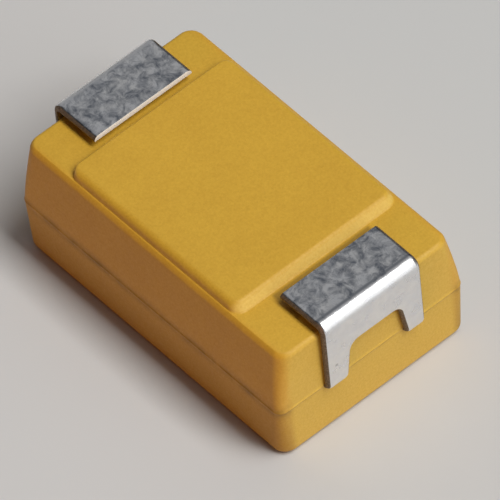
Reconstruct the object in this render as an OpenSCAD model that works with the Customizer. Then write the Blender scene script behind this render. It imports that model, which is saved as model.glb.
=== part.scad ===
// Moulded tantalum chip capacitor, lying on its marking face with the two solder feet up.
// Millimetres. The origin is the centre of the marking face. +Z points out of the solder side,
// +X points to the anode end, whose terminal is forked, and Y runs across the case.

/* [Overall] */
// length over the outer faces of the two terminals
overall_l = 7.30; // [7.1:0.05:7.6]
// height from the marking face to the solder faces of the feet
overall_h = 2.89; // [2.85:0.01:3.1]

/* [Case] */
// width of the case over the parting flash
case_w = 4.37; // [4.2:0.01:4.6]
// height of the parting line above the marking face
parting_z = 1.23; // [1.15:0.01:1.3]
// how far each end face leans in, from the parting line to the end ledge
solder_draft_end = 0.03; // [0.03:0.005:0.1]
// how far each long side leans in, from the parting line to the end ledge
solder_draft_side = 0.18; // [0.06:0.005:0.2]
// how far each end face leans in, from the parting line to the marking face
marking_draft_end = 0.01; // [0.01:0.005:0.1]
// how far each long side leans in, from the parting line to the marking face
marking_draft_side = 0.01; // [0.01:0.005:0.1]
// radius of the four upright corners at the parting line
corner_r = 0.18; // [0.14:0.01:0.3]
// radius of the same corners at the end ledges
solder_corner_r = 0.28; // [0.2:0.01:0.4]
// radius of the same corners at the marking face
marking_corner_r = 0.28; // [0.22:0.01:0.36]
// radius of the edges round the solder side
solder_edge_r = 0.10; // [0.04:0.01:0.12]
// radius of the edges round the marking face
marking_edge_r = 0.16; // [0.05:0.01:0.2]
// how far the mould flash stands out at the parting line
flash_out = 0.01; // [0.01:0.005:0.03]
// thickness of the mould flash
flash_t = 0.03; // [0.02:0.01:0.06]

/* [Glue pad] */
// length of the raised pad between the feet, at its foot
pad_l = 4.52; // [4.2:0.02:4.56]
// how far the pad's middle lies towards the cathode end
pad_shift = 0.09; // [0:0.01:0.12]
// width of the raised pad at its foot
pad_w = 3.80; // [3.4:0.02:3.84]
// height of the pad above the end ledges
pad_rise = 0.18; // [0.15:0.01:0.2]
// radius of the pad's edges
pad_edge_r = 0.16; // [0.08:0.01:0.17]
// how far the feet stand proud of the pad
standoff = 0.09; // [0.05:0.01:0.12]

/* [Terminals] */
// thickness of the terminal strip
strip_t = 0.12; // [0.08:0.01:0.15]
// width of both terminals
strip_w = 2.28; // [2.2:0.02:2.5]
// length of each solder foot, from its tip to the outer face of its leg
foot_l = 1.16; // [0.9:0.02:1.2]
// outside radius of the bend between leg and foot
foot_bend_r = 0.22; // [0.2:0.01:0.3]
// inside radius of the other bends
strip_bend_r = 0.08; // [0.05:0.01:0.12]
// height of the top of the fork's slot above the parting line
fork_h = 0.78; // [0.6:0.02:1.0]
// width of the fork's slot at its top
fork_top_w = 1.12; // [0.7:0.02:1.2]
// width of the fork's slot at the parting line
fork_root_w = 1.36; // [1.3:0.02:1.6]
// how far the slot runs in from the outer face of the leg
fork_depth = 0.50; // [0.4:0.02:0.6]
// radius of the slot's two upper corners
fork_r = 0.20; // [0.1:0.01:0.24]
// gap between each leg and the mould flash behind it
leg_gap = 0.02; // [0.01:0.01:0.06]

/* [Inside the case] */
// from the pellet's anode face to the anode end of the case
anode_room = 1.62; // [1.45:0.01:1.8]
// from the step in the cathode strip to the coats on the pellet
step_gap = 0.14; // [0.1:0.01:0.3]
// width of the sintered pellet
pellet_w = 3.00; // [2.8:0.02:3.1]
// thickness of the sintered pellet
pellet_h = 1.50; // [1.3:0.02:1.52]
// radius of the pellet's long edges
pellet_r = 0.15; // [0.1:0.01:0.2]
// diameter of the anode wire
wire_d = 0.38; // [0.3:0.01:0.4]
// how deep the wire is welded into the anode tab
weld_sink = 0.02; // [0.01:0.01:0.03]
// thickness of the manganese dioxide layer
oxide_t = 0.04; // [0.03:0.01:0.05]
// thickness of the graphite layer
graphite_t = 0.03; // [0.03:0.01:0.04]
// thickness of the silver coat
silver_t = 0.04; // [0.03:0.01:0.05]
// thickness of the silver adhesive under the pellet
adhesive_t = 0.06; // [0.05:0.01:0.07]
// diameter of the insulating washer
washer_d = 1.20; // [0.9:0.05:1.3]
// thickness of the insulating washer
washer_t = 0.16; // [0.1:0.01:0.2]
// bare wire between the washer and the anode tab
bare_wire_l = 0.44; // [0.3:0.01:0.5]
// length of wire welded to the tab
weld_l = 0.50; // [0.3:0.01:0.5]
// length of wire sintered into the pellet
rooted_l = 1.70; // [1.2:0.05:2.2]

// from the outer face of the cathode leg to the step in its strip
step_back = 0.70; // [0.6:0.02:0.8]
// width of the cathode strip's inner end
paddle_w = 2.00; // [1.6:0.05:2.2]
// how far the cathode strip's inner end stops short of the pellet's anode face
paddle_short = 1.00; // [0.8:0.05:1.5]
// how far the adhesive stays inside the edges of what it bonds
adhesive_inset = 0.10; // [0.05:0.01:0.15]

/* [Hidden] */
$fn = 96;
eps = 0.01;
overlap = 1;

// the case, as half lengths and half widths
case_x = overall_l / 2 - strip_t - leg_gap;
case_y = case_w / 2;
root_x = case_x - flash_out;
root_y = case_y - flash_out;
solder_x = root_x - solder_draft_end;
solder_y = root_y - solder_draft_side;
marking_x = root_x - marking_draft_end;
marking_y = root_y - marking_draft_side;
pad_z = overall_h - standoff;
ledge_z = pad_z - pad_rise;

// the terminals; a terminal is drawn with its outer face at +outer_x
outer_x = overall_l / 2;
strip_bend_out = strip_bend_r + strip_t;
strip_top = parting_z;
strip_z = strip_top - strip_t;
fork_inner_x = outer_x - fork_depth;

// the stack that is built round the wire
wire_r = wire_d / 2;
wire_z = strip_top + wire_r - weld_sink;
coat_t = oxide_t + graphite_t + silver_t;
step_x = outer_x - step_back;
pellet_x0 = -(step_x - strip_t / 2 - step_gap - coat_t);
pellet_x1 = case_x - anode_room;
pellet_l = pellet_x1 - pellet_x0;
tab_end_x = pellet_x1 + washer_t + bare_wire_l;
wire_x0 = pellet_x1 - rooted_l;
wire_x1 = tab_end_x + weld_l;
silver_end = 0.25;
graphite_end = 0.15;
stack_bottom = wire_z - pellet_h / 2 - coat_t;

// the cathode's inner end steps down under the stack
paddle_top = stack_bottom - adhesive_t;
paddle_x1 = pellet_x1 - paddle_short;
adhesive_x0 = pellet_x0 + adhesive_inset;
adhesive_x1 = paddle_x1 - adhesive_inset;
adhesive_w = paddle_w - 2 * adhesive_inset;

// ---------- shapes shared by several pieces ----------

// rectangle with round corners, centred
module round_rect(w, h, r) {
    square([w - 2 * r, h], center = true);
    square([w, h - 2 * r], center = true);
    for (sx = [-1, 1], sy = [-1, 1])
        translate([sx * (w / 2 - r), sy * (h / 2 - r)])
            circle(r);
}

// a quarter of a bent strip: inside radius ri, in the quarter pointed to by sx, sz
module quarter_bend(ri, sx, sz) {
    ro = ri + strip_t;
    intersection() {
        difference() {
            circle(ro);
            circle(ri);
        }
        translate([sx > 0 ? 0 : -ro, sz > 0 ? 0 : -ro])
            square(ro);
    }
}

// rectangle given by its two corners
module span(x0, z0, x1, z1) {
    translate([x0, z0])
        square([x1 - x0, z1 - z0]);
}

// turns an outline in X and Z into a strip of width w across Y
module across(w) {
    translate([0, w / 2, 0])
        rotate([90, 0, 0])
            linear_extrude(w)
                children();
}

// ---------- terminals ----------

// side view of foot, leg and the bend where the strip leaves the case
module lead_outline(inner_x) {
    foot_ri = foot_bend_r - strip_t;
    span(outer_x - foot_l, overall_h - strip_t, outer_x - foot_bend_r, overall_h);
    translate([outer_x - foot_bend_r, overall_h - foot_bend_r])
        quarter_bend(foot_ri, 1, 1);
    span(outer_x - strip_t, strip_z + strip_bend_out, outer_x, overall_h - foot_bend_r);
    translate([outer_x - strip_bend_out, strip_z + strip_bend_out])
        quarter_bend(strip_bend_r, 1, -1);
    span(inner_x, strip_z, outer_x - strip_bend_out, strip_top);
}

// side view of the step that takes the cathode strip down under the stack
module step_outline() {
    face_out = step_x + strip_t / 2;
    face_in = step_x - strip_t / 2;
    translate([face_out + strip_bend_r, strip_z - strip_bend_r])
        quarter_bend(strip_bend_r, -1, 1);
    span(face_in, paddle_top + strip_bend_r, face_out, strip_z - strip_bend_r);
    translate([face_in - strip_bend_r, paddle_top + strip_bend_r])
        quarter_bend(strip_bend_r, 1, -1);
}

// the slot between the fork's two legs, seen from the end; it opens at z = 0
module fork_slot() {
    root = fork_root_w / 2;
    top = fork_top_w / 2;
    side = norm([top - root, fork_h]);
    ny = -fork_h / side;
    nz = (top - root) / side;
    cy = root + ((fork_h - fork_r) * (top - root) - fork_r * side) / fork_h;
    cz = fork_h - fork_r;
    ty = cy - fork_r * ny;
    tz = cz - fork_r * nz;
    polygon([[-root, 0], [root, 0], [ty, tz], [cy, fork_h], [-cy, fork_h], [-ty, tz]]);
    for (s = [-1, 1])
        translate([s * cy, cz])
            circle(fork_r);
}

module anode_strip() {
    difference() {
        across(strip_w)
            lead_outline(tab_end_x);
        // slot up the leg
        translate([fork_inner_x, 0, parting_z])
            rotate([90, 0, 90])
                linear_extrude(overlap)
                    fork_slot();
        // the same slot where the strip runs into the case
        translate([fork_inner_x, -fork_root_w / 2, parting_z - overlap])
            cube([overlap, fork_root_w, overlap + eps]);
    }
}

module cathode_strip() {
    mirror([1, 0, 0]) {
        across(strip_w)
            lead_outline(step_x + strip_t / 2 + strip_bend_r);
        across(paddle_w) {
            step_outline();
            span(-paddle_x1, paddle_top - strip_t, step_x - strip_t / 2 - strip_bend_r, paddle_top);
        }
    }
}

// ---------- the stack on the anode wire ----------

module wire_rod() {
    translate([wire_x0, 0, wire_z])
        rotate([0, 90, 0])
            cylinder(r = wire_r, h = wire_x1 - wire_x0);
}

// the pellet with coats of total thickness t on it, stopping short of its anode face
module coated_block(t, short) {
    translate([pellet_x0 - t, 0, wire_z])
        rotate([90, 0, 90])
            linear_extrude(pellet_l + t - short)
                round_rect(pellet_w + 2 * t, pellet_h + 2 * t, pellet_r + t);
}

module washer_disc() {
    translate([pellet_x1, 0, wire_z])
        rotate([0, 90, 0])
            cylinder(d = washer_d, h = washer_t);
}

module adhesive_bed() {
    translate([adhesive_x0, -adhesive_w / 2, paddle_top])
        cube([adhesive_x1 - adhesive_x0, adhesive_w, adhesive_t]);
}

// ---------- case ----------

// ring that rounds a corner and the edge below or above it
module corner_ring(r, e) {
    rotate_extrude($fn = 40)
        intersection() {
            translate([r - e, 0])
                circle(e, $fn = 24);
            translate([0, -e])
                square([r, 2 * e]);
        }
}

// one half of the case, from the parting outline to its outer face at z1
module drafted_half(face_x, face_y, z1, edge_r, face_corner) {
    up = z1 > parting_z ? 1 : -1;
    hull()
        for (sx = [-1, 1], sy = [-1, 1]) {
            translate([sx * (root_x - corner_r), sy * (root_y - corner_r), parting_z - (up < 0 ? eps : 0)])
                cylinder(r = corner_r, h = eps, $fn = 40);
            translate([sx * (face_x - face_corner), sy * (face_y - face_corner), z1 - up * edge_r])
                corner_ring(face_corner, edge_r);
        }
}

module glue_pad() {
    translate([-pad_shift, 0, 0])
        hull()
            for (sx = [-1, 1], sy = [-1, 1])
                translate([sx * (pad_l / 2 - pad_edge_r), sy * (pad_w / 2 - pad_edge_r), 0]) {
                    translate([0, 0, ledge_z - solder_edge_r])
                        cylinder(r = pad_edge_r, h = eps, $fn = 32);
                    translate([0, 0, pad_z - pad_edge_r])
                        sphere(pad_edge_r, $fn = 32);
                }
}

module parting_flash() {
    translate([0, 0, parting_z - flash_t / 2])
        linear_extrude(flash_t)
            round_rect(2 * case_x, 2 * case_y, corner_r + flash_out);
}

module moulded_case() {
    color([0.80, 0.58, 0.14])
        difference() {
            union() {
                drafted_half(marking_x, marking_y, 0, marking_edge_r, marking_corner_r);
                drafted_half(solder_x, solder_y, ledge_z, solder_edge_r, solder_corner_r);
                glue_pad();
                parting_flash();
            }
            anode_strip();
            cathode_strip();
            wire_rod();
            washer_disc();
            coated_block(oxide_t, 0);
            coated_block(oxide_t + graphite_t, graphite_end);
            coated_block(coat_t, silver_end);
            adhesive_bed();
        }
}

module anode_terminal() {
    color([0.70, 0.71, 0.72])
        difference() {
            anode_strip();
            wire_rod();
        }
}

module cathode_terminal() {
    color([0.70, 0.71, 0.72])
        cathode_strip();
}

module tantalum_pellet() {
    color([0.30, 0.31, 0.34])
        difference() {
            coated_block(0, 0);
            wire_rod();
        }
}

module anode_wire() {
    color([0.45, 0.46, 0.50])
        wire_rod();
}

module insulating_washer() {
    color([0.93, 0.93, 0.91])
        difference() {
            washer_disc();
            wire_rod();
        }
}

module manganese_dioxide_layer() {
    color([0.10, 0.09, 0.09])
        difference() {
            coated_block(oxide_t, 0);
            coated_block(0, 0);
        }
}

module graphite_layer() {
    color([0.18, 0.18, 0.19])
        difference() {
            coated_block(oxide_t + graphite_t, graphite_end);
            coated_block(oxide_t, 0);
        }
}

module silver_coat() {
    color([0.80, 0.80, 0.82])
        difference() {
            coated_block(coat_t, silver_end);
            coated_block(oxide_t + graphite_t, graphite_end);
        }
}

module silver_adhesive() {
    color([0.72, 0.72, 0.73])
        adhesive_bed();
}

moulded_case();
anode_terminal();
cathode_terminal();
tantalum_pellet();
anode_wire();
insulating_washer();
manganese_dioxide_layer();
graphite_layer();
silver_coat();
silver_adhesive();
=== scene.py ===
"""Moulded tantalum chip capacitor: what the CAD solids look like.

Lengths below are in millimetres and carry the names they have in part.scad, and mm() turns them
into Blender's metres. The case and the two terminals are drawn again, with the soft edges, the
uneven mould flash and the drawn-in sheared edges that the real ones have. The pieces inside the
case keep their CAD meshes. Every material is made of nodes, in object coordinates.
"""

import math

import bmesh
import bpy
from mathutils import Matrix, Vector, noise


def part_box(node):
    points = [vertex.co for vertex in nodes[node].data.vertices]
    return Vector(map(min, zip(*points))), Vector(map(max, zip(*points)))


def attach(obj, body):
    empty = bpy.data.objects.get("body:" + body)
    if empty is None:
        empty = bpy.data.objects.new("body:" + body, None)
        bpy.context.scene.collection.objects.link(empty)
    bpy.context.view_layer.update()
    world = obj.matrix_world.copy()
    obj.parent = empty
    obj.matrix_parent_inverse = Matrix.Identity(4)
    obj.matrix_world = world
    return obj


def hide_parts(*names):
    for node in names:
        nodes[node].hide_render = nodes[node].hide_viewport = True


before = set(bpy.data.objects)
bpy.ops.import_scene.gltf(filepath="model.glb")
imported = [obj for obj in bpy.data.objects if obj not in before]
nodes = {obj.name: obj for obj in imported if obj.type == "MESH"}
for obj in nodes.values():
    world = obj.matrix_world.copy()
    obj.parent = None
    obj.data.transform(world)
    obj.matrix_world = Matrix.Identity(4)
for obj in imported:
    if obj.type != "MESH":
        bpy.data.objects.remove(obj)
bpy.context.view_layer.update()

MM = 0.001


def mm(*values):
    return Vector([v * MM for v in values])


# ---------------------------------------------------------------- sizes, as in part.scad

case_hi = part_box("moulded_case")[1] / MM
lead_lo, lead_hi = [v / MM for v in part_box("anode_terminal")]

overall_h = lead_hi.z
outer_x = lead_hi.x
strip_w = lead_hi.y - lead_lo.y
case_x = case_hi.x
case_y = case_hi.y
pad_z = case_hi.z

parting_z = 1.23
solder_draft_end = 0.03
solder_draft_side = 0.18
marking_draft_end = 0.01
marking_draft_side = 0.01
corner_r = 0.18
solder_corner_r = 0.28
marking_corner_r = 0.28
solder_edge_r = 0.10
marking_edge_r = 0.16
flash_out = 0.01
flash_t = 0.03
pad_l = 4.52
pad_shift = 0.09
pad_w = 3.80
pad_corner_r = 0.24
pad_rise = 0.18
strip_t = 0.12
foot_l = 1.16
foot_bend_r = 0.22
strip_bend_r = 0.08
fork_h = 0.78
fork_top_w = 1.12
fork_root_w = 1.36
fork_r = 0.20
fork_depth = 0.50
paddle_w = 2.00
step_back = 0.70

root_x = case_x - flash_out
root_y = case_y - flash_out
ledge_z = pad_z - pad_rise
foot_end_x = outer_x - foot_l

# ---------------------------------------------------------------- what the solids leave out

# the pad's walls: how far each leans in over its height, and its top edge's radius;
# the near wall is the one by the anode foot, and its base lies further out than in the solids
pad_near_lean = 0.14
pad_near_r = 0.10
pad_near_out = 0.03
pad_side_lean = 0.05
pad_side_r = 0.17
pad_far_lean = 0.02
pad_far_r = 0.05
# the smallest corner radius that is left where the walls have leaned in
pad_least_r = 0.012
# the pad's root, and a narrow ring of ledge about it that keeps the ledge's shading flat
pad_root_w = 0.012
pad_side_root_w = 0.008
pad_hold_w = 0.006
# the long rims: the gap to that ring, and a bevel's power, where 1 is flat and 2 is round
rim_gap = 0.002
rim_power = 1.2
# the long sides' belly: the power that their draft follows, where 1 is straight
belly = 1.4
# mould flash: height as a share of its thickness, and how far out as a share of its width
flash_profile = ((-1 / 2, 0.0), (-1 / 3, 0.8), (1 / 3, 1.0), (1 / 2, 0.0))
flash_mean = 0.55
flash_least = 0.15
# its waves: share, length and seed
flash_waves = ((0.45, 0.35, 4.0), (0.20, 0.08, 9.0))
# the sheared edges of the strip
drawn_edge_r = 0.09
drawn_tin_share = 0.85
burr_edge_r = 0.01
cut_end_share = 0.12
# the anode's slot, off the middle, and the feet, which sag before the bend
slot_shift = 0.03
foot_sag = 0.014
foot_sag_w = 0.08
# a small dark spot on one prong
dark_spot_place = (3.65, -0.925, 1.75)
dark_spot_r = 0.045


# ---------------------------------------------------------------- shared helpers


def make_object(name, bm, smooth=True):
    """Turns a bmesh into a linked object with its normals outward."""
    bmesh.ops.recalc_face_normals(bm, faces=bm.faces)
    mesh = bpy.data.meshes.new(name)
    bm.to_mesh(mesh)
    bm.free()
    for polygon in mesh.polygons:
        polygon.use_smooth = smooth
    obj = bpy.data.objects.new(name, mesh)
    bpy.context.scene.collection.objects.link(obj)
    return obj


def quarter(start, steps):
    """Angles of a quarter turn from start, both ends included."""
    return [math.radians(start + 90 * i / steps) for i in range(steps + 1)]


# ---------------------------------------------------------------- the case

# faces round a corner and along a side, seen from above
CORNER_STEPS = 12
SIDE_STEPS_X = 96
SIDE_STEPS_Y = 60
# faces up a round edge, and up the pad's wall
EDGE_STEPS = 8
WALL_STEPS = 14
# where the two halves' walls are divided, as shares of their height
MARKING_CUTS = (0.1, 0.4, 0.7, 0.95)
SOLDER_CUTS = (0.05, 0.2, 0.35, 0.5, 0.65, 0.8, 0.95)
# how far in the loops lie that divide the two flat faces, and the marking face's smallest corner
MARKING_INSETS = (1.2, 0.5, marking_edge_r + 0.02)
MARKING_LEAST_R = 0.06
PAD_INSETS = (0.26, 0.6, 1.4)
# the pad wall's lowest divisions, and the height of its finely divided part
PAD_LOW_CUTS = (pad_root_w, 0.03)
PAD_FINE_H = 0.14


def loop_points(hx, hy, r, z, cx=0.0):
    """A level loop round a rectangle with round corners, always of the same number of points."""
    points = []
    corners = [(1, 1, 0), (-1, 1, 90), (-1, -1, 180), (1, -1, 270)]
    for k, (sx, sy, start) in enumerate(corners):
        centre = Vector((cx + sx * (hx - r), sy * (hy - r), z))
        angles = quarter(start, CORNER_STEPS)
        arc = [centre + Vector((r * math.cos(a), r * math.sin(a), 0)) for a in angles]
        points += arc
        nx, ny, _ = corners[(k + 1) % 4]
        follow = Vector((cx + nx * (hx - r), ny * (hy - r), z))
        a = math.radians(start + 90)
        target = follow + Vector((r * math.cos(a), r * math.sin(a), 0))
        steps = SIDE_STEPS_X if k % 2 == 0 else SIDE_STEPS_Y
        points += [arc[-1].lerp(target, i / steps) for i in range(1, steps)]
    return points


def wall_inset(rise, lean, r):
    """How far in a pad wall lies at some rise above the ledge; its top edge is round."""
    tilt = math.atan2(pad_rise, lean)
    drop = pad_rise - rise
    if drop > r * (1 - math.cos(tilt)):
        return lean * rise / pad_rise
    a = math.acos(max(1 - drop / r, -1))
    return lean + r * math.tan(tilt / 2) - r * math.sin(a)


def case_levels():
    """The case's loops from the marking face up.

    Each is a half length, half width, corner radius, height, centre, and share of the flash.
    """
    marking_x = root_x - marking_draft_end
    marking_y = root_y - marking_draft_side
    solder_x = root_x - solder_draft_end
    solder_y = root_y - solder_draft_side
    levels = []

    def add(hx, hy, r, z, cx=0.0, flash=0.0):
        levels.append((hx, hy, r, z, cx, flash))

    # marking face and the round edge about it
    e = marking_edge_r
    for inset in MARKING_INSETS:
        r = max(marking_corner_r - inset, MARKING_LEAST_R)
        add(marking_x - inset, marking_y - inset, r, 0)
    for a in quarter(-90, EDGE_STEPS):
        inset = e - e * math.cos(a)
        r = marking_corner_r - inset
        add(marking_x - inset, marking_y - inset, r, e + e * math.sin(a))
    # marking half, up to the mould flash
    for share in MARKING_CUTS:
        z = e + (parting_z - flash_t / 2 - e) * share
        f = (z - e) / (parting_z - e)
        r = marking_corner_r + (corner_r - marking_corner_r) * f
        add(marking_x + (root_x - marking_x) * f, marking_y + (root_y - marking_y) * f, r, z)
    for height, out in flash_profile:
        add(root_x, root_y, corner_r, parting_z + flash_t * height, flash=out)
    # solder half, up to the edge of the ledge
    e = solder_edge_r
    wall_start = parting_z + flash_t / 2
    for share in SOLDER_CUTS:
        z = wall_start + (ledge_z - e - wall_start) * share
        f = (z - parting_z) / (ledge_z - e - parting_z)
        r = corner_r + (solder_corner_r - corner_r) * f
        add(root_x + (solder_x - root_x) * f, root_y + (solder_y - root_y) * f ** belly, r, z)
    # that edge, round at the ends and a soft bevel along the sides
    rim_y = pad_w / 2 + pad_side_root_w + pad_hold_w + rim_gap
    for a in quarter(0, EDGE_STEPS):
        inset = e - e * math.cos(a)
        run = (1 - min(math.sin(a), 1) ** rim_power) ** (1 / rim_power)
        hy = rim_y + (solder_y - rim_y) * run
        add(solder_x - inset, hy, solder_corner_r - inset, ledge_z - e + e * math.sin(a))
    # pad: its root, its leaning walls with round top edges, and its flat face
    hx = pad_l / 2
    hy = pad_w / 2
    for w in (pad_hold_w, 0):
        end_w = pad_root_w + w
        side_w = pad_side_root_w + w
        add(hx + pad_near_out / 2 + end_w, hy + side_w, pad_corner_r + end_w,
            ledge_z, pad_near_out / 2 - pad_shift)
    rises = list(PAD_LOW_CUTS)
    for a in reversed(quarter(0, WALL_STEPS)):
        rises.append(pad_rise - PAD_FINE_H * (1 - math.cos(a)))
    for rise in rises:
        near = wall_inset(rise, pad_near_lean, pad_near_r) - pad_near_out
        side = wall_inset(rise, pad_side_lean, pad_side_r)
        far = wall_inset(rise, pad_far_lean, pad_far_r)
        r = max(pad_corner_r - side, pad_least_r)
        add(hx - (near + far) / 2, hy - side, r, ledge_z + rise, -pad_shift - (near - far) / 2)
    for inset in PAD_INSETS:
        add(hx - inset, hy - inset, pad_least_r, pad_z, -pad_shift)
    return levels


# a seed shifts the noise along X, and along Y and Z by these shares of it
SEED_Y = 1.7
SEED_Z = 0.3


def uneven(point, size, seed):
    """Smooth noise from -1 to 1 that varies over the given length."""
    return noise.noise(point / size + Vector((seed, seed * SEED_Y, seed * SEED_Z)))


def off_case(p):
    """The level direction in which the mould flash stands out at a point of the parting line."""
    at_end = abs(p.x) > case_x - corner_r
    at_side = abs(p.y) > case_y - corner_r
    if at_end and not at_side:
        return Vector((math.copysign(1, p.x), 0, 0))
    if at_side and not at_end:
        return Vector((0, math.copysign(1, p.y), 0))
    return Vector((p.x / case_x, p.y / case_y, 0)).normalized()


def ragged(p):
    """How far the mould flash stands out at a point, as a share of its width."""
    share = flash_mean
    for wave, length, seed in flash_waves:
        share += wave * uneven(p, length, seed)
    return min(1.0, max(flash_least, share))


def build_case():
    bm = bmesh.new()
    rings = []
    for hx, hy, r, z, cx, flash in case_levels():
        ring = []
        for p in loop_points(hx, hy, r, z, cx):
            if flash:
                p = p + off_case(p) * flash_out * flash * ragged(p)
            ring.append(bm.verts.new(p * MM))
        rings.append(ring)
    count = len(rings[0])
    for low, high in zip(rings, rings[1:]):
        for i in range(count):
            j = (i + 1) % count
            bm.faces.new((low[i], low[j], high[j], high[i]))
    bm.faces.new(list(reversed(rings[0])))
    bm.faces.new(rings[-1])
    return make_object("case_moulding", bm)


# ---------------------------------------------------------------- the terminals

# lengths closer than this are the same place on the strip
CLOSE = 1e-9
# how often the flat strip is divided along a straight and along a bend
STRAIGHT_STEPS = 12
BEND_STEPS = 14
# the decimals that two such cuts are told apart by, and how near a cut takes in a point
CUT_DIGITS = 6
CUT_TOLERANCE = 1e-5
# faces round its lower and upper edges, round the slot's corners and down the slot's sides
BURR_STEPS = 3
DRAWN_STEPS = 6
SLOT_ARC_STEPS = 9
SLOT_SIDE_STEPS = 16
# an outline turns a corner where the sine of its turn is over this, and elsewhere it bends
CORNER_TURN = 0.5
LEAST_BISECTOR = 0.4
# edges with a larger angle than this, in degrees, are shaded sharp
SHARP_ANGLE = 35
# material slots on the strip
EDGE_SLOT = 1
CUT_END_SLOT = 2


class StripPath:
    """The middle line of a folded strip in side view, as straights and bends."""

    def __init__(self, start, heading):
        self.parts = []
        self.point = Vector(start)
        self.heading = math.radians(heading)
        self.length = 0.0

    def straight(self, length):
        self.parts.append((self.length, length, self.point.copy(), self.heading, 0.0))
        self.point += Vector((math.cos(self.heading), math.sin(self.heading))) * length
        self.length += length

    def bend(self, radius, degrees):
        turn = math.radians(degrees)
        length = radius * abs(turn)
        self.parts.append((self.length, length, self.point.copy(), self.heading, turn))
        self.point = self.at(self.length + length)[0]
        self.heading += turn
        self.length += length

    def at(self, s):
        """Point and heading at length s."""
        for start, length, point, heading, turn in self.parts:
            if s <= start + length + CLOSE or (start, length) == self.parts[-1][:2]:
                break
        d = s - start
        if turn == 0:
            return point + Vector((math.cos(heading), math.sin(heading))) * d, heading
        radius = length / abs(turn)
        side = math.copysign(1, turn)
        angle = heading + turn * d / length
        centre = point + Vector((-math.sin(heading), math.cos(heading))) * radius * side
        return centre - Vector((-math.sin(angle), math.cos(angle))) * radius * side, angle

    def cuts(self):
        """Lengths at which the flat strip is divided so that it can be bent."""
        found = []
        for start, length, _, _, turn in self.parts:
            steps = BEND_STEPS if turn else STRAIGHT_STEPS
            found += [start + length * i / steps for i in range(steps + 1)]
        return sorted(set(round(s, CUT_DIGITS) for s in found))[1:-1]


def lead_path(inner_x):
    """Foot, bend, leg and the bend into the case; ends at inner_x inside the case."""
    t = strip_t
    path = StripPath((outer_x - foot_l, overall_h - t / 2), 0)
    path.straight(foot_l - foot_bend_r)
    path.bend(foot_bend_r - t / 2, -90)
    path.straight(overall_h - foot_bend_r - parting_z - strip_bend_r)
    path.bend(strip_bend_r + t / 2, -90)
    path.straight(outer_x - strip_bend_r - t - inner_x)
    return path


def inset_loop(points, depth):
    """Moves a closed loop sideways into the metal, which lies on its left.

    A side at length 0 is the foot's cut end. It moves by only a share of the depth.
    """
    moved = []
    neighbours = zip(points[-1:] + points[:-1], points, points[1:] + points[:1])
    for before, here, after in neighbours:
        a = (Vector(here) - Vector(before)).normalized()
        b = (Vector(after) - Vector(here)).normalized()
        na = Vector((-a.y, a.x))
        nb = Vector((-b.y, b.x))
        da = depth * (cut_end_share if before[0] == here[0] == 0 else 1)
        db = depth * (cut_end_share if here[0] == after[0] == 0 else 1)
        turn = na.x * nb.y - na.y * nb.x
        if abs(turn) > CORNER_TURN:
            shift = Vector(((da * nb.y - db * na.y) / turn, (db * na.x - da * nb.x) / turn))
        else:
            bisector = (na + nb).normalized()
            shift = bisector * da / max(bisector.dot(na), LEAST_BISECTOR)
        moved.append(Vector(here) + shift)
    return moved


def flat_blank(loops):
    """A flat plate from its outline and its holes, all with the metal on their left.

    The upper edges are drawn in, as a punch leaves them, and the lower ones are nearly sharp.
    """
    bm = bmesh.new()
    half_t = strip_t / 2
    section = []
    for a in quarter(-90, BURR_STEPS):
        depth = burr_edge_r * (1 - math.cos(a))
        section.append((depth, -half_t + burr_edge_r * (1 + math.sin(a))))
    for a in quarter(0, DRAWN_STEPS):
        depth = drawn_edge_r * (1 - math.cos(a))
        section.append((depth, half_t - drawn_edge_r * (1 - math.sin(a))))
    lids = {0: [], -1: []}
    drawn_start = half_t - drawn_edge_r * (1 - drawn_tin_share)
    for points in loops:
        rings = []
        for depth, height in section:
            inner = inset_loop(points, depth)
            rings.append([bm.verts.new((p.x, p.y, height)) for p in inner])
        count = len(points)
        for low, high in zip(rings, rings[1:]):
            for i in range(count):
                j = (i + 1) % count
                face = bm.faces.new((low[i], low[j], high[j], high[i]))
                if points[i][0] == points[j][0] == 0:
                    face.material_index = CUT_END_SLOT
                elif low[i].co.z < drawn_start:
                    face.material_index = EDGE_SLOT
        for end, lid in lids.items():
            ring = rings[end]
            lid += [bm.edges.get((ring[i], ring[(i + 1) % count])) for i in range(count)]
    for lid in lids.values():
        bmesh.ops.triangle_fill(bm, edges=lid, use_beauty=True)
    return bm


def fold(name, bm, path, side):
    """Bends the flat plate along the path; side is 1 at the anode end, -1 at the cathode end."""
    for s in path.cuts():
        everything = bm.verts[:] + bm.edges[:] + bm.faces[:]
        bmesh.ops.bisect_plane(bm, geom=everything, dist=CUT_TOLERANCE,
                               plane_co=(s, 0, 0), plane_no=(1, 0, 0))
    bend_start = path.parts[1][0]
    for v in bm.verts:
        s, y, out = v.co
        (u, z), heading = path.at(s)
        if out > 0:
            before = min(max((bend_start - s) / foot_sag_w, 0), 1)
            out -= foot_sag * before * before * (3 - 2 * before)
        u -= math.sin(heading) * out
        z += math.cos(heading) * out
        v.co = Vector((side * u, y, z)) * MM
    obj = make_object(name, bm)
    obj.data.set_sharp_from_angle(angle=math.radians(SHARP_ANGLE))
    return obj


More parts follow.
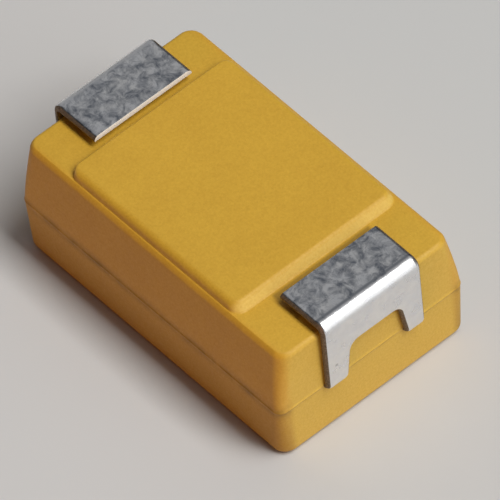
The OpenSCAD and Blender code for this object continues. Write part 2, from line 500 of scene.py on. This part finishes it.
def slot_outline(path):
    """The fork's slot in the flat strip: round upper corners, and sides that lean apart below."""
    root = fork_root_w / 2
    top = fork_top_w / 2
    side = math.hypot(root - top, fork_h)
    lean = math.asin((root - top) / side)
    corner = root - ((fork_h - fork_r) * (root - top) + fork_r * side) / fork_h
    leg_start, _, (_, leg_top_z), _, _ = path.parts[2]
    slot_top = leg_start + leg_top_z - (parting_z + fork_h)
    bend_start, bend_length = path.parts[3][:2]
    right = []
    for i in range(SLOT_ARC_STEPS + 1):
        a = math.radians(90) + (lean - math.radians(90)) * i / SLOT_ARC_STEPS
        right.append((slot_top + fork_r * (1 - math.sin(a)), corner + fork_r * math.cos(a)))
    first = right[-1][0]
    for i in range(1, SLOT_SIDE_STEPS + 1):
        s = first + (bend_start + bend_length - first) * i / SLOT_SIDE_STEPS
        height = max(path.at(s)[0].y - parting_z, 0)
        right.append((s, root + (top - root) * height / fork_h))
    end = bend_start + bend_length + fork_depth - strip_bend_r - strip_t
    right.append((end, root))
    left = [(s, -y) for s, y in reversed(right)]
    return [(s, y + slot_shift) for s, y in right + left]


def build_anode_lead():
    path = lead_path(lead_lo.x)
    half = strip_w / 2
    outline = [(0, -half), (path.length, -half), (path.length, half), (0, half)]
    bm = flat_blank([outline, slot_outline(path)])
    return fold("anode_lead", bm, path, 1)


def build_cathode_lead():
    lo, hi = [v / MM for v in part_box("cathode_terminal")]
    step_x = outer_x - step_back
    straight_end = step_x + strip_t / 2 + strip_bend_r
    path = lead_path(straight_end)
    wide = path.length
    t = strip_t
    drop = parting_z - (lo.z + t)
    path.bend(strip_bend_r + t / 2, 90)
    path.straight(drop - 2 * strip_bend_r - t)
    path.bend(strip_bend_r + t / 2, -90)
    path.straight(path.point.x + hi.x)
    half = strip_w / 2
    narrow = paddle_w / 2
    end = path.length
    outline = [(0, -half), (wide, -half), (wide, -narrow), (end, -narrow),
               (end, narrow), (wide, narrow), (wide, half), (0, half)]
    bm = flat_blank([outline])
    return fold("cathode_lead", bm, path, -1)


# ---------------------------------------------------------------- materials

WHITE = (1.0, 1.0, 1.0)
BLACK = (0.0, 0.0, 0.0)


class Shader:
    """A node material with one Principled shader and object coordinates, in millimetres.

    A fade is two places and the values at them, and it stays level past both.
    """

    def __init__(self, name):
        self.material = bpy.data.materials.new(name)
        self.material.use_nodes = True
        self.tree = self.material.node_tree
        self.bsdf = self.tree.nodes["Principled BSDF"]
        coords = self.tree.nodes.new("ShaderNodeTexCoord")
        scale = self.tree.nodes.new("ShaderNodeVectorMath")
        scale.operation = "SCALE"
        scale.inputs["Scale"].default_value = 1 / MM
        self.tree.links.new(coords.outputs["Object"], scale.inputs[0])
        self.mm = scale.outputs["Vector"]

    def node(self, kind, **settings):
        made = self.tree.nodes.new(kind)
        for key, value in settings.items():
            setattr(made, key, value)
        return made

    def link(self, a, b):
        self.tree.links.new(a, b)

    def axes(self):
        split = self.node("ShaderNodeSeparateXYZ")
        self.link(self.mm, split.inputs["Vector"])
        return split.outputs["X"], split.outputs["Y"], split.outputs["Z"]

    def noise(self, per_mm, detail=3.0, roughness=0.55, distortion=0.0):
        made = self.node("ShaderNodeTexNoise")
        made.inputs["Scale"].default_value = per_mm
        made.inputs["Detail"].default_value = detail
        made.inputs["Roughness"].default_value = roughness
        made.inputs["Distortion"].default_value = distortion
        self.link(self.mm, made.inputs["Vector"])
        return made.outputs["Fac"]

    def ramp(self, value, *stops):
        made = self.node("ShaderNodeValToRGB")
        elements = made.color_ramp.elements
        while len(elements) < len(stops):
            elements.new(0.5)
        for element, (place, colour) in zip(elements, stops):
            element.position = place
            element.color = (*colour, 1)
        self.link(value, made.inputs["Fac"])
        return made.outputs["Color"]

    def fade(self, value, low, high, at_low, at_high):
        made = self.node("ShaderNodeMapRange")
        made.inputs["From Min"].default_value = low
        made.inputs["From Max"].default_value = high
        made.inputs["To Min"].default_value = at_low
        made.inputs["To Max"].default_value = at_high
        self.link(value, made.inputs["Value"])
        return made.outputs["Result"]

    def math(self, operation, a, b=0.0):
        made = self.node("ShaderNodeMath", operation=operation)
        for socket, value in zip(made.inputs, (a, b)):
            if isinstance(value, (int, float)):
                socket.default_value = value
            else:
                self.link(value, socket)
        return made.outputs["Value"]

    def product(self, first, *others):
        for other in others:
            first = self.math("MULTIPLY", first, other)
        return first

    def off(self, value, place=0.0):
        """How far a value is from a place, to either side."""
        return self.math("ABSOLUTE", self.math("SUBTRACT", value, place))

    def off_point(self, point):
        made = self.node("ShaderNodeVectorMath", operation="DISTANCE")
        self.link(self.mm, made.inputs[0])
        made.inputs[1].default_value = point
        return made.outputs["Value"]

    def mix(self, factor, a, b):
        made = self.node("ShaderNodeMix", data_type="RGBA")
        for name, value in (("Factor_Float", factor), ("A_Color", a), ("B_Color", b)):
            socket = next(s for s in made.inputs if s.identifier == name)
            if isinstance(value, (int, float)):
                socket.default_value = value
            elif isinstance(value, tuple):
                socket.default_value = (*value, 1)
            else:
                self.link(value, socket)
        return next(s for s in made.outputs if s.identifier == "Result_Color")

    def bump(self, *layers):
        """Chains bump layers, each a height and what one unit of it measures in millimetres."""
        normal = None
        for height, depth in layers:
            made = self.node("ShaderNodeBump")
            made.inputs["Distance"].default_value = depth * MM
            self.link(height, made.inputs["Height"])
            if normal is not None:
                self.link(normal, made.inputs["Normal"])
            normal = made.outputs["Normal"]
        self.link(normal, self.bsdf.inputs["Normal"])

    def finish(self, colour, roughness, metallic):
        self.link(colour, self.bsdf.inputs["Base Color"])
        self.link(roughness, self.bsdf.inputs["Roughness"])
        self.bsdf.inputs["Metallic"].default_value = metallic


# tones of the epoxy: place in the noise and colour
CLOUD_TONES = ((0.3, (0.60, 0.345, 0.026)), (0.7, (0.66, 0.390, 0.032)))
GRAIN_TONES = ((0.3, (0.50, 0.275, 0.018)), (0.72, (0.74, 0.46, 0.050)))
SPECK_TONES = ((0.24, WHITE), (0.33, BLACK))
SPECK_COLOUR = (0.20, 0.10, 0.015)
# painted highlight: a pale colour for the pad's end walls and the case's end faces
HIGHLIGHT_COLOUR = (0.80, 0.60, 0.17)
# painted shade: a more orange, darker colour for the long sides, standing in for their warm shade
SIDE_SHADE_COLOUR = (0.60, 0.22, 0.012)
# darkening colour: painted shade under the anode foot and low on the long sides, and the dark
# patches and dashes along the parting line
DARKENING_AND_SHADE_COLOUR = (0.17, 0.095, 0.008)
GRAIN_SHARE = 0.4
SPECK_SHARE = 0.5
SIDE_SHADE_SHARE = 0.25
EPOXY_SPECULAR = 0.45
# bump depths, in millimetres
EPOXY_RIPPLE_DEPTH = 0.006
EPOXY_GRAIN_DEPTH = 0.004
EPOXY_SPECK_DEPTH = 0.0015
# fades of the noise: two values in the noise, and the shares there
PATCHES = (0.35, 0.65, 0.3, 1)
DASHES = (0.40, 0.66, 0, 1)
UNEVEN_HIGHLIGHT = (0.35, 0.6, 0.7, 1)
EPOXY_ROUGHNESS = (0.3, 0.7, 0.62, 0.48)
# fades across the case: two distances or heights in millimetres, and the shares there
LONG_SIDE = (case_y - 0.36, case_y - 0.22, 0, 1)
BAND_OFF_LINE = (0.02, 0.22, 0.40, 0)
LINE_OFF_LINE = (0.03, 0.13, 0.30, 0)
# painted shade: the long sides darker towards the bottom, below the parting line
LOW_SHADE = (0, parting_z, 0.38, 0.16)
BELOW_LINE = (parting_z - 0.1, parting_z, 1, 0)
# where the painted highlight lies: the pad's end walls and the case's end faces
PAD_END = (pad_l / 2 - 0.2, pad_l / 2 - 0.1, 0, 0.5)
NEAR_PAD = (pad_l / 2 + 0.06, pad_l / 2 + 0.08, 1, 0)
ABOVE_LEDGE = (ledge_z, ledge_z + 0.03, 0, 1)
BELOW_PAD_TOP = (pad_z - 0.06, pad_z - 0.002, 1, 0)
END_FACE = (case_x - 0.12, case_x - 0.02, 0, 0.25)
# painted shade in the gap under the free end of the anode foot: its middle along X, and its fades
GAP_X = foot_end_x + 0.1
GAP_ALONG = (0.32, 0.38, 0.55, 0)
GAP_ACROSS = (strip_w / 2 - 0.04, strip_w / 2 + 0.02, 1, 0)
GAP_HEIGHT = (ledge_z + 0.004, ledge_z + 0.02, 1, 0)


def epoxy_darkening_and_shade(m, x, y, z, long_side):
    """Share of darkening: in patches and dashes along the parting line on the long sides, painted
    shade that grows towards the bottom of the long sides below it, and painted shade in the gap
    under the anode foot.
    """
    from_line = m.off(z, parting_z)
    patches = m.fade(m.noise(per_mm=1.6, detail=3, roughness=0.7), *PATCHES)
    dashes = m.fade(m.noise(per_mm=4, detail=3, roughness=0.6), *DASHES)
    band = m.product(m.fade(from_line, *BAND_OFF_LINE), patches)
    line = m.product(m.fade(from_line, *LINE_OFF_LINE), dashes)
    # painted shade that grows towards the bottom of the long sides
    low_shade = m.product(m.fade(z, *LOW_SHADE), m.fade(z, *BELOW_LINE))
    side_darkening = m.product(m.math("ADD", m.math("ADD", band, line), low_shade), long_side)
    # painted shade in the gap under the free end of the anode foot
    along = m.fade(m.off(x, GAP_X), *GAP_ALONG)
    across = m.fade(m.off(y), *GAP_ACROSS)
    return m.math("MAXIMUM", side_darkening, m.product(along, across, m.fade(z, *GAP_HEIGHT)))


def epoxy_painted_highlight(m, x, z):
    """Share of painted highlight, which makes the pad's end walls and the case's end faces paler.
    """
    from_pad_middle = m.off(x, -pad_shift)
    on_wall = m.product(m.fade(z, *ABOVE_LEDGE), m.fade(z, *BELOW_PAD_TOP))
    wall = m.product(m.fade(from_pad_middle, *PAD_END), on_wall, m.fade(from_pad_middle, *NEAR_PAD))
    return m.math("MAXIMUM", wall, m.fade(m.off(x), *END_FACE))


def epoxy_material():
    """Clouded, grained and specked ochre epoxy. Painted shade makes the long sides more orange and
    darker towards the bottom, and darkens the gap under the anode foot. The long sides also darken
    in patches and dashes along the parting line, and a painted highlight makes the pad's end walls
    and the case's end faces paler.
    """
    m = Shader("moulded_epoxy")
    x, y, z = m.axes()
    cloud = m.noise(per_mm=1.1, detail=3, distortion=0.4)
    grain = m.noise(per_mm=22, detail=4, roughness=0.65)
    speck = m.noise(per_mm=60, detail=2)
    ripple = m.noise(per_mm=5, detail=2)
    grained = m.mix(GRAIN_SHARE, m.ramp(cloud, *CLOUD_TONES), m.ramp(grain, *GRAIN_TONES))
    specked = m.mix(m.product(m.ramp(speck, *SPECK_TONES), SPECK_SHARE), grained, SPECK_COLOUR)
    painted_highlight = m.product(epoxy_painted_highlight(m, x, z), m.fade(grain, *UNEVEN_HIGHLIGHT))
    # painted highlight on the end walls and end faces
    highlighted = m.mix(painted_highlight, specked, HIGHLIGHT_COLOUR)
    long_side = m.fade(m.off(y), *LONG_SIDE)
    # painted shade: the long sides take the orange shade colour
    side_shaded = m.mix(m.product(long_side, SIDE_SHADE_SHARE), highlighted, SIDE_SHADE_COLOUR)
    # painted shade and darkening mixed in
    colour = m.mix(epoxy_darkening_and_shade(m, x, y, z, long_side), side_shaded, DARKENING_AND_SHADE_COLOUR)
    m.finish(colour, m.fade(grain, *EPOXY_ROUGHNESS), metallic=0.0)
    m.bsdf.inputs["Specular IOR Level"].default_value = EPOXY_SPECULAR
    m.bump((ripple, EPOXY_RIPPLE_DEPTH), (grain, EPOXY_GRAIN_DEPTH), (speck, EPOXY_SPECK_DEPTH))
    return m.material


# tones of the tin, the same way
TIN_TONES = (
    (0.30, (0.84, 0.845, 0.855)),
    (0.50, (0.88, 0.88, 0.885)),
    (0.72, (0.92, 0.92, 0.915)),
)
BLUISH_TIN = (0.80, 0.83, 0.90)
DULL_TIN = (0.66, 0.665, 0.66)
# the swirls' colour, also used for the painted dark reflection where the bend begins
SWIRL_AND_DARK_REFLECTION_COLOUR = (0.24, 0.26, 0.30)
DARK_SPOT_COLOUR = (0.30, 0.28, 0.26)
BLUISH = (0.4, 0.65, 0.0, 0.3)
DULL = (0.35, 0.65, 0.0, 0.12)
SWIRLS = (0.62, 0.36, 0.0, 1.0)
TIN_ROUGHNESS = (0.3, 0.7, 0.27, 0.32)
DARK_SPOT = (dark_spot_r, dark_spot_r * 0.3, 0.0, 0.55)
# the flat of the feet, and the painted dark reflection where the bend begins
BEND_X = outer_x - foot_bend_r
FLAT = (BEND_X, BEND_X + 0.06, 1, 0)
DARK_REFLECTION_X = BEND_X - 0.025
DARK_REFLECTION = (0.015, 0.06, 0.8, 0)
# the share of the waves' height off the flat and on it
WAVE_SHARES = (0, 1, 0.2, 1)
TIN_WAVE_DEPTH = 0.006
TIN_GRAIN_DEPTH = 0.0005


def tin_material():
    """Tin that runs in swirls on the flat feet and was drawn smooth over the bends and the leg,
    with a painted dark reflection where the bend begins.
    """
    m = Shader("matte_tin")
    x = m.axes()[0]
    flat = m.fade(m.off(x), *FLAT)
    dark_reflection = m.fade(m.off(x, DARK_REFLECTION_X), *DARK_REFLECTION)
    blotch = m.noise(per_mm=4.5, detail=1, roughness=0.4, distortion=0.6)
    swirl = m.noise(per_mm=5.0, detail=5, roughness=0.68, distortion=0.5)
    grain = m.noise(per_mm=18, detail=4, roughness=0.7)
    tint = m.noise(per_mm=3.0, detail=2, distortion=0.8)
    tinted = m.mix(m.fade(tint, *BLUISH), m.ramp(blotch, *TIN_TONES), BLUISH_TIN)
    worn = m.mix(m.fade(grain, *DULL), tinted, DULL_TIN)
    streaks = m.product(m.fade(swirl, *SWIRLS), flat)
    # the swirls, and a painted dark reflection where the bend begins
    swirled_and_darkened = m.mix(m.math("MAXIMUM", streaks, dark_reflection), worn, SWIRL_AND_DARK_REFLECTION_COLOUR)
    # a small dark spot on one prong
    colour = m.mix(m.fade(m.off_point(dark_spot_place), *DARK_SPOT), swirled_and_darkened, DARK_SPOT_COLOUR)
    m.finish(colour, m.fade(blotch, *TIN_ROUGHNESS), metallic=1.0)
    # the noise is centred on 0, so that the mask's edge makes no step
    waves = m.product(m.math("SUBTRACT", blotch, 0.5), m.fade(flat, *WAVE_SHARES))
    m.bump((waves, TIN_WAVE_DEPTH), (grain, TIN_GRAIN_DEPTH))
    return m.material


# the values in the noise at which a grain is dark and light
GRAIN_LOW = 0.3
GRAIN_HIGH = 0.7


def grained_material(name, dark, light, roughness, metallic, grain, depth):
    """Two tones in a grain, with the roughness at the dark and the light one, and a bump."""
    m = Shader(name)
    fac = m.noise(**grain)
    colour = m.ramp(fac, (GRAIN_LOW, dark), (GRAIN_HIGH, light))
    m.finish(colour, m.fade(fac, GRAIN_LOW, GRAIN_HIGH, *roughness), metallic)
    m.bump((fac, depth))
    return m.material


TORN_GRAIN = {"per_mm": 30, "detail": 3, "roughness": 0.6}
TORN_ROUGHNESS = (0.7, 0.55)
TORN_DEPTH = 0.006


def edge_material(name, dark, light, metallic):
    """The strip's bare sides, which a punch left rough."""
    return grained_material(name, dark, light, TORN_ROUGHNESS, metallic, TORN_GRAIN, TORN_DEPTH)


# what the pieces inside the case are like: dark and light colour, roughness, metallic,
# grain per millimetre and its depth
INNER_FINISHES = {
    "tantalum_pellet": ((0.05, 0.055, 0.07), (0.12, 0.125, 0.14), 0.7, 0.6, 30, 0.006),
    "anode_wire": ((0.17, 0.175, 0.20), (0.26, 0.265, 0.29), 0.35, 1.0, 12, 0.002),
    "insulating_washer": ((0.80, 0.80, 0.78), (0.88, 0.88, 0.86), 0.4, 0.0, 10, 0.002),
    "manganese_dioxide_layer": ((0.008, 0.007, 0.007), (0.02, 0.018, 0.018), 0.8, 0.0, 25, 0.006),
    "graphite_layer": ((0.02, 0.02, 0.022), (0.04, 0.04, 0.044), 0.5, 0.2, 25, 0.004),
    "silver_coat": ((0.50, 0.50, 0.52), (0.68, 0.68, 0.70), 0.5, 0.9, 20, 0.004),
    "silver_adhesive": ((0.40, 0.40, 0.41), (0.55, 0.55, 0.56), 0.55, 0.9, 20, 0.004),
}
# how much rougher the dark tone is than the middle, and how much smoother the light one
ROUGHNESS_SPREAD = 0.06


def dress_inner_pieces():
    for node, (dark, light, middle, metallic, per_mm, depth) in INNER_FINISHES.items():
        roughness = (middle + ROUGHNESS_SPREAD, middle - ROUGHNESS_SPREAD)
        grain = {"per_mm": per_mm, "detail": 4, "roughness": 0.6}
        finish = grained_material(node + "_finish", dark, light, roughness, metallic, grain, depth)
        materials = nodes[node].data.materials
        materials.clear()
        materials.append(finish)


# ---------------------------------------------------------------- stage, lights, camera

# lengths here are in metres, unless it says otherwise
FLOOR_HALF = 1.5
FLOOR_ROUGHNESS = 0.75
FLOOR_TONES = ((0.3, (0.58, 0.58, 0.575)), (0.7, (0.62, 0.62, 0.615)))
SOFTBOX_DISTANCE = 0.40
# name, direction from the part, width in line with X, height, radiance and colour
SOFTBOXES = (
    ("key_light", (0.44, 0.21, 0.87), 0.30, 0.12, 12.6, (1.0, 0.99, 0.97)),
    ("front_fill", (0.93, 0.14, 0.36), 0.29, 0.36, 1.15, (1.0, 1.0, 1.0)),
    ("sky_fill", (-0.58, 0.36, 0.73), 0.70, 0.40, 0.29, (0.97, 0.98, 1.0)),
    ("warm_fill", (0.35, -0.93, 0.20), 0.16, 0.16, 3.1, (1.0, 0.30, 0.07)),
)
WORLD_COLOUR = (1.0, 0.96, 0.92)
WORLD_STRENGTH = 0.02
# the camera's angles in degrees, and its lens and sensor in millimetres
CAMERA_AZIMUTH = 53.58
CAMERA_ELEVATION = 50.46
CAMERA_ROLL = -6.20
CAMERA_DISTANCE = 0.2625
CAMERA_LENS = 1067.5
CAMERA_SENSOR = 36
CLIP_START = 0.01
CLIP_END = 10
# where it aims, in millimetres: a height over the origin, then to the right and down in its view
AIM_HEIGHT = 1.391
AIM_RIGHT = 0.158
AIM_DOWN = 0.275


def build_floor():
    bm = bmesh.new()
    corners = ((-1, -1), (1, -1), (1, 1), (-1, 1))
    bm.faces.new([bm.verts.new((x * FLOOR_HALF, y * FLOOR_HALF, 0)) for x, y in corners])
    floor = make_object("floor", bm, smooth=False)
    m = Shader("pale_floor")
    soft = m.noise(per_mm=0.02, detail=2)
    m.link(m.ramp(soft, *FLOOR_TONES), m.bsdf.inputs["Base Color"])
    m.bsdf.inputs["Roughness"].default_value = FLOOR_ROUGHNESS
    floor.data.materials.append(m.material)


def softbox(name, direction, width, height, radiance, colour):
    """A soft light that points at the part and has the same radiance all over."""
    light = bpy.data.lights.new(name, "AREA")
    light.shape = "RECTANGLE"
    light.size = width
    light.size_y = height
    light.energy = radiance * width * height * math.pi
    light.color = colour
    obj = bpy.data.objects.new(name, light)
    bpy.context.scene.collection.objects.link(obj)
    back = Vector(direction).normalized()
    across = Vector((1, 0, 0)) - back * back.x
    across.normalize()
    axes = Matrix((across, back.cross(across), back)).transposed()
    obj.matrix_world = Matrix.Translation(back * SOFTBOX_DISTANCE) @ axes.to_4x4()


def build_lights():
    for values in SOFTBOXES:
        softbox(*values)
    world = bpy.data.worlds.new("studio")
    world.use_nodes = True
    background = world.node_tree.nodes["Background"]
    background.inputs["Color"].default_value = (*WORLD_COLOUR, 1)
    background.inputs["Strength"].default_value = WORLD_STRENGTH
    bpy.context.scene.world = world


def build_camera():
    azimuth = math.radians(CAMERA_AZIMUTH)
    elevation = math.radians(CAMERA_ELEVATION)
    roll = math.radians(CAMERA_ROLL)
    back = Vector((math.sin(azimuth) * math.cos(elevation),
                   -math.cos(azimuth) * math.cos(elevation),
                   math.sin(elevation)))
    level = Vector((math.cos(azimuth), math.sin(azimuth), 0))
    rise = back.cross(level)
    right = level * math.cos(roll) + rise * math.sin(roll)
    up = rise * math.cos(roll) - level * math.sin(roll)
    aim = mm(0, 0, AIM_HEIGHT) + right * AIM_RIGHT * MM - up * AIM_DOWN * MM
    camera = bpy.data.cameras.new("camera")
    camera.sensor_width = CAMERA_SENSOR
    camera.lens = CAMERA_LENS
    camera.clip_start = CLIP_START
    camera.clip_end = CLIP_END
    obj = bpy.data.objects.new("camera", camera)
    bpy.context.scene.collection.objects.link(obj)
    axes = Matrix((right, up, back)).transposed()
    obj.matrix_world = Matrix.Translation(aim + back * CAMERA_DISTANCE) @ axes.to_4x4()
    bpy.context.scene.camera = obj


# ---------------------------------------------------------------- put together

# in the order of the strip's material slots: face, EDGE_SLOT, CUT_END_SLOT
strip_finish = [
    tin_material(),
    # the strip's sides: bare sheared metal, drawn darker still as painted shade
    edge_material("bare_edge_with_painted_shade", (0.12, 0.09, 0.06), (0.28, 0.22, 0.16), metallic=0.8),
    edge_material("fresh_cut", (0.84, 0.81, 0.74), (0.95, 0.93, 0.87), metallic=0.15),
]
for piece, node, slot, finish in (
    (build_case(), "moulded_case", "epoxy", [epoxy_material()]),
    (build_anode_lead(), "anode_terminal", "tinned_strip", strip_finish),
    (build_cathode_lead(), "cathode_terminal", "tinned_strip", strip_finish),
):
    for material in finish:
        piece.data.materials.append(material)
    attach(piece, "root")
    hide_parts(node)
dress_inner_pieces()
build_floor()
build_lights()
build_camera()
bpy.context.scene.view_settings.view_transform = "Standard"
